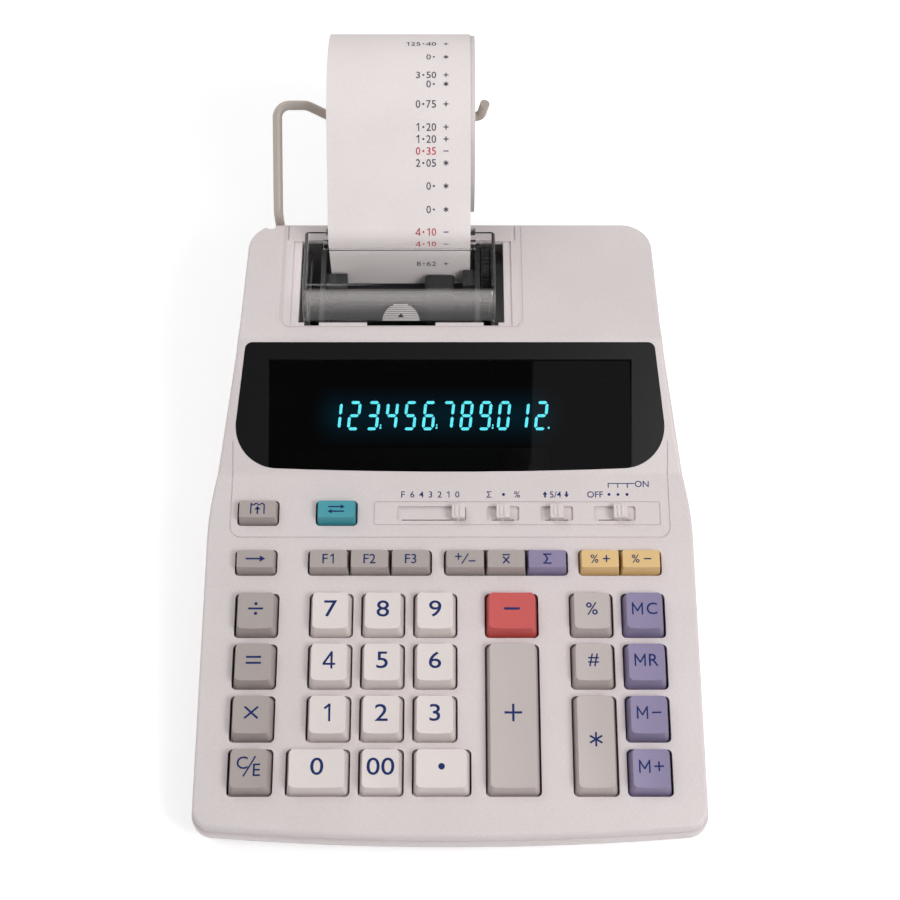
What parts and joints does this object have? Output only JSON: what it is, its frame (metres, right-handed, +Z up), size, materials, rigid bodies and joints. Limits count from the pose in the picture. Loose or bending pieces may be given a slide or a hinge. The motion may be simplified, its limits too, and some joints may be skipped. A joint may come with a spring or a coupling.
{
  "type": "desk printing calculator",
  "caption": "Desk printing calculator: wedge case with pressed keys, slide switches, dark display window, clear printer cover and a paper roll on a bent wire at the back.",
  "frame": {"origin": "centre of the bounding box on the plane of the feet", "axes": "+X to the user's right, +Y from the front edge to the paper roll, +Z up"},
  "size_m": [0.1926, 0.319, 0.1211],
  "materials": {
    "case_plastic": "fine satin, light warm grey",
    "smoked_plastic": "glossy, nearly black",
    "clear_plastic": "clear, slightly smoky",
    "tube_glass": "polished",
    "circuit_board": "green lacquer",
    "dome_rubber": "soft grey",
    "dark_plastic": "charcoal",
    "roller_rubber": "ground, black",
    "gear_plastic": "off-white",
    "ink_felt": "inked felt",
    "paper": "matt, off-white",
    "coated_wire": "beige coating",
    "foot_rubber": "matt black",
    "steel": "plated",
    "core_iron": "laminated, varnished",
    "white_keys": "satin off-white",
    "grey_keys": "satin grey",
    "red_key": "satin red",
    "pale_grey_keys": "satin pale grey",
    "purple_keys": "satin violet grey",
    "yellow_keys": "satin yellow",
    "teal_key": "satin teal",
    "knob_plastic": "satin grey",
    "legend_ink": "printed, navy",
    "display_glow": "lit, blue-green",
    "print_ink": "ribbon ink, blue-black",
    "red_print_ink": "ribbon ink, red"
  },
  "bodies": {
    "case": {"upper_case": "case_plastic", "lower_case": "case_plastic", "display_window": "smoked_plastic", "display_tube": "tube_glass", "main_board": "circuit_board", "key_board": "circuit_board", "dome_mat": "dome_rubber", "printer_frame": "dark_plastic", "printer_motor": "steel", "roll_holder": "coated_wire", "paper_tape": "paper", "rubber_feet": "foot_rubber", "case_screws": "steel", "transformer": "core_iron"},
    "key_7": {"key_7": "white_keys"},
    "key_8": {"key_8": "white_keys"},
    "key_9": {"key_9": "white_keys"},
    "key_4": {"key_4": "white_keys"},
    "key_5": {"key_5": "white_keys"},
    "key_6": {"key_6": "white_keys"},
    "key_1": {"key_1": "white_keys"},
    "key_2": {"key_2": "white_keys"},
    "key_3": {"key_3": "white_keys"},
    "key_divide": {"key_divide": "grey_keys"},
    "key_equals": {"key_equals": "grey_keys"},
    "key_times": {"key_times": "grey_keys"},
    "key_clear": {"key_clear": "grey_keys"},
    "key_recall": {"key_recall": "purple_keys"},
    "key_memory": {"key_memory": "purple_keys"},
    "key_memory_minus": {"key_memory_minus": "purple_keys"},
    "key_memory_plus": {"key_memory_plus": "purple_keys"},
    "key_percent": {"key_percent": "pale_grey_keys"},
    "key_number": {"key_number": "pale_grey_keys"},
    "key_total": {"key_total": "pale_grey_keys"},
    "key_minus": {"key_minus": "red_key"},
    "key_plus": {"key_plus": "pale_grey_keys"},
    "key_0": {"key_0": "white_keys"},
    "key_00": {"key_00": "white_keys"},
    "key_point": {"key_point": "white_keys"},
    "key_feed": {"key_feed": "grey_keys"},
    "key_shift": {"key_shift": "teal_key"},
    "key_arrow": {"key_arrow": "grey_keys"},
    "key_f1": {"key_f1": "grey_keys"},
    "key_f2": {"key_f2": "grey_keys"},
    "key_f3": {"key_f3": "grey_keys"},
    "key_sign": {"key_sign": "grey_keys"},
    "key_average": {"key_average": "grey_keys"},
    "key_sum": {"key_sum": "purple_keys"},
    "key_rate_plus": {"key_rate_plus": "yellow_keys"},
    "key_rate_minus": {"key_rate_minus": "yellow_keys"},
    "decimal_knob": {"decimal_knob": "knob_plastic"},
    "rate_knob": {"rate_knob": "knob_plastic"},
    "round_knob": {"round_knob": "knob_plastic"},
    "power_knob": {"power_knob": "knob_plastic"},
    "platen": {"platen_roller": "roller_rubber"},
    "pinion": {"motor_pinion": "gear_plastic"},
    "ink": {"ink_roller": "ink_felt"},
    "carriage": {"print_carriage": "dark_plastic"},
    "roll": {"paper_roll": "paper"},
    "cover": {"printer_cover": "clear_plastic"}
  },
  "joints": [
    {"name": "key_7_press", "type": "slide", "parent": "case", "child": "key_7", "axis": [0, 0.1392, -0.9903], "range_m": [0, 0.0025], "stiffness_N_per_m": 200, "deforming": ["dome_mat"]},
    {"name": "key_8_press", "type": "slide", "parent": "case", "child": "key_8", "axis": [0, 0.1392, -0.9903], "range_m": [0, 0.0025], "stiffness_N_per_m": 200, "deforming": ["dome_mat"]},
    {"name": "key_9_press", "type": "slide", "parent": "case", "child": "key_9", "axis": [0, 0.1392, -0.9903], "range_m": [0, 0.0025], "stiffness_N_per_m": 200, "deforming": ["dome_mat"]},
    {"name": "key_4_press", "type": "slide", "parent": "case", "child": "key_4", "axis": [0, 0.1392, -0.9903], "range_m": [0, 0.0025], "stiffness_N_per_m": 200, "deforming": ["dome_mat"]},
    {"name": "key_5_press", "type": "slide", "parent": "case", "child": "key_5", "axis": [0, 0.1392, -0.9903], "range_m": [0, 0.0025], "stiffness_N_per_m": 200, "deforming": ["dome_mat"]},
    {"name": "key_6_press", "type": "slide", "parent": "case", "child": "key_6", "axis": [0, 0.1392, -0.9903], "range_m": [0, 0.0025], "stiffness_N_per_m": 200, "deforming": ["dome_mat"]},
    {"name": "key_1_press", "type": "slide", "parent": "case", "child": "key_1", "axis": [0, 0.1392, -0.9903], "range_m": [0, 0.0025], "stiffness_N_per_m": 200, "deforming": ["dome_mat"]},
    {"name": "key_2_press", "type": "slide", "parent": "case", "child": "key_2", "axis": [0, 0.1392, -0.9903], "range_m": [0, 0.0025], "stiffness_N_per_m": 200, "deforming": ["dome_mat"]},
    {"name": "key_3_press", "type": "slide", "parent": "case", "child": "key_3", "axis": [0, 0.1392, -0.9903], "range_m": [0, 0.0025], "stiffness_N_per_m": 200, "deforming": ["dome_mat"]},
    {"name": "key_divide_press", "type": "slide", "parent": "case", "child": "key_divide", "axis": [0, 0.1392, -0.9903], "range_m": [0, 0.0025], "stiffness_N_per_m": 200, "deforming": ["dome_mat"]},
    {"name": "key_equals_press", "type": "slide", "parent": "case", "child": "key_equals", "axis": [0, 0.1392, -0.9903], "range_m": [0, 0.0025], "stiffness_N_per_m": 200, "deforming": ["dome_mat"]},
    {"name": "key_times_press", "type": "slide", "parent": "case", "child": "key_times", "axis": [0, 0.1392, -0.9903], "range_m": [0, 0.0025], "stiffness_N_per_m": 200, "deforming": ["dome_mat"]},
    {"name": "key_clear_press", "type": "slide", "parent": "case", "child": "key_clear", "axis": [0, 0.1392, -0.9903], "range_m": [0, 0.0025], "stiffness_N_per_m": 200, "deforming": ["dome_mat"]},
    {"name": "key_recall_press", "type": "slide", "parent": "case", "child": "key_recall", "axis": [0, 0.1392, -0.9903], "range_m": [0, 0.0025], "stiffness_N_per_m": 200, "deforming": ["dome_mat"]},
    {"name": "key_memory_press", "type": "slide", "parent": "case", "child": "key_memory", "axis": [0, 0.1392, -0.9903], "range_m": [0, 0.0025], "stiffness_N_per_m": 200, "deforming": ["dome_mat"]},
    {"name": "key_memory_minus_press", "type": "slide", "parent": "case", "child": "key_memory_minus", "axis": [0, 0.1392, -0.9903], "range_m": [0, 0.0025], "stiffness_N_per_m": 200, "deforming": ["dome_mat"]},
    {"name": "key_memory_plus_press", "type": "slide", "parent": "case", "child": "key_memory_plus", "axis": [0, 0.1392, -0.9903], "range_m": [0, 0.0025], "stiffness_N_per_m": 200, "deforming": ["dome_mat"]},
    {"name": "key_percent_press", "type": "slide", "parent": "case", "child": "key_percent", "axis": [0, 0.1392, -0.9903], "range_m": [0, 0.0025], "stiffness_N_per_m": 200, "deforming": ["dome_mat"]},
    {"name": "key_number_press", "type": "slide", "parent": "case", "child": "key_number", "axis": [0, 0.1392, -0.9903], "range_m": [0, 0.0025], "stiffness_N_per_m": 200, "deforming": ["dome_mat"]},
    {"name": "key_total_press", "type": "slide", "parent": "case", "child": "key_total", "axis": [0, 0.1392, -0.9903], "range_m": [0, 0.0025], "stiffness_N_per_m": 200, "deforming": ["dome_mat"]},
    {"name": "key_minus_press", "type": "slide", "parent": "case", "child": "key_minus", "axis": [0, 0.1392, -0.9903], "range_m": [0, 0.0025], "stiffness_N_per_m": 200, "deforming": ["dome_mat"]},
    {"name": "key_plus_press", "type": "slide", "parent": "case", "child": "key_plus", "axis": [0, 0.1392, -0.9903], "range_m": [0, 0.0025], "stiffness_N_per_m": 200, "deforming": ["dome_mat"]},
    {"name": "key_0_press", "type": "slide", "parent": "case", "child": "key_0", "axis": [0, 0.1392, -0.9903], "range_m": [0, 0.0025], "stiffness_N_per_m": 200, "deforming": ["dome_mat"]},
    {"name": "key_00_press", "type": "slide", "parent": "case", "child": "key_00", "axis": [0, 0.1392, -0.9903], "range_m": [0, 0.0025], "stiffness_N_per_m": 200, "deforming": ["dome_mat"]},
    {"name": "key_point_press", "type": "slide", "parent": "case", "child": "key_point", "axis": [0, 0.1392, -0.9903], "range_m": [0, 0.0025], "stiffness_N_per_m": 200, "deforming": ["dome_mat"]},
    {"name": "key_feed_press", "type": "slide", "parent": "case", "child": "key_feed", "axis": [0, 0.1392, -0.9903], "range_m": [0, 0.0025], "stiffness_N_per_m": 200, "deforming": ["dome_mat"]},
    {"name": "key_shift_press", "type": "slide", "parent": "case", "child": "key_shift", "axis": [0, 0.1392, -0.9903], "range_m": [0, 0.0025], "stiffness_N_per_m": 200, "deforming": ["dome_mat"]},
    {"name": "key_arrow_press", "type": "slide", "parent": "case", "child": "key_arrow", "axis": [0, 0.1392, -0.9903], "range_m": [0, 0.0025], "stiffness_N_per_m": 200, "deforming": ["dome_mat"]},
    {"name": "key_f1_press", "type": "slide", "parent": "case", "child": "key_f1", "axis": [0, 0.1392, -0.9903], "range_m": [0, 0.0025], "stiffness_N_per_m": 200, "deforming": ["dome_mat"]},
    {"name": "key_f2_press", "type": "slide", "parent": "case", "child": "key_f2", "axis": [0, 0.1392, -0.9903], "range_m": [0, 0.0025], "stiffness_N_per_m": 200, "deforming": ["dome_mat"]},
    {"name": "key_f3_press", "type": "slide", "parent": "case", "child": "key_f3", "axis": [0, 0.1392, -0.9903], "range_m": [0, 0.0025], "stiffness_N_per_m": 200, "deforming": ["dome_mat"]},
    {"name": "key_sign_press", "type": "slide", "parent": "case", "child": "key_sign", "axis": [0, 0.1392, -0.9903], "range_m": [0, 0.0025], "stiffness_N_per_m": 200, "deforming": ["dome_mat"]},
    {"name": "key_average_press", "type": "slide", "parent": "case", "child": "key_average", "axis": [0, 0.1392, -0.9903], "range_m": [0, 0.0025], "stiffness_N_per_m": 200, "deforming": ["dome_mat"]},
    {"name": "key_sum_press", "type": "slide", "parent": "case", "child": "key_sum", "axis": [0, 0.1392, -0.9903], "range_m": [0, 0.0025], "stiffness_N_per_m": 200, "deforming": ["dome_mat"]},
    {"name": "key_rate_plus_press", "type": "slide", "parent": "case", "child": "key_rate_plus", "axis": [0, 0.1392, -0.9903], "range_m": [0, 0.0025], "stiffness_N_per_m": 200, "deforming": ["dome_mat"]},
    {"name": "key_rate_minus_press", "type": "slide", "parent": "case", "child": "key_rate_minus", "axis": [0, 0.1392, -0.9903], "range_m": [0, 0.0025], "stiffness_N_per_m": 200, "deforming": ["dome_mat"]},
    {"name": "decimal_slide", "type": "slide", "parent": "case", "child": "decimal_knob", "axis": [1, 0, 0], "range_m": [-0.0213, 0]},
    {"name": "rate_slide", "type": "slide", "parent": "case", "child": "rate_knob", "axis": [1, 0, 0], "range_m": [-0.0035, 0.0035]},
    {"name": "round_slide", "type": "slide", "parent": "case", "child": "round_knob", "axis": [1, 0, 0], "range_m": [-0.0035, 0.0036]},
    {"name": "power_slide", "type": "slide", "parent": "case", "child": "power_knob", "axis": [1, 0, 0], "range_m": [-0.0074, 0.0033]},
    {"name": "platen_spin", "type": "hinge", "parent": "case", "child": "platen", "pos_m": [-0.0203, 0.07344, 0.052], "axis": [1, 0, 0], "continuous": true},
    {"name": "pinion_spin", "type": "hinge", "parent": "case", "child": "pinion", "pos_m": [0.015, 0.06446, 0.04302], "axis": [1, 0, 0], "continuous": true},
    {"name": "ink_spin", "type": "hinge", "parent": "case", "child": "ink", "pos_m": [-0.042, 0.04899, 0.04], "axis": [1, 0, 0], "continuous": true},
    {"name": "carriage_slide", "type": "slide", "parent": "case", "child": "carriage", "axis": [1, 0, 0], "range_m": [-0.022, 0.002]},
    {"name": "roll_spin", "type": "hinge", "parent": "case", "child": "roll", "pos_m": [-0.0185, 0.12359, 0.0846], "axis": [1, 0, 0], "continuous": true},
    {"name": "cover_lift", "type": "slide", "parent": "case", "child": "cover", "axis": [0, 0, 1], "range_m": [0, 0.006]}
  ],
  "couplings": [
    {"joint": "pinion_spin", "follows": "platen_spin", "ratio": -2}
  ]
}
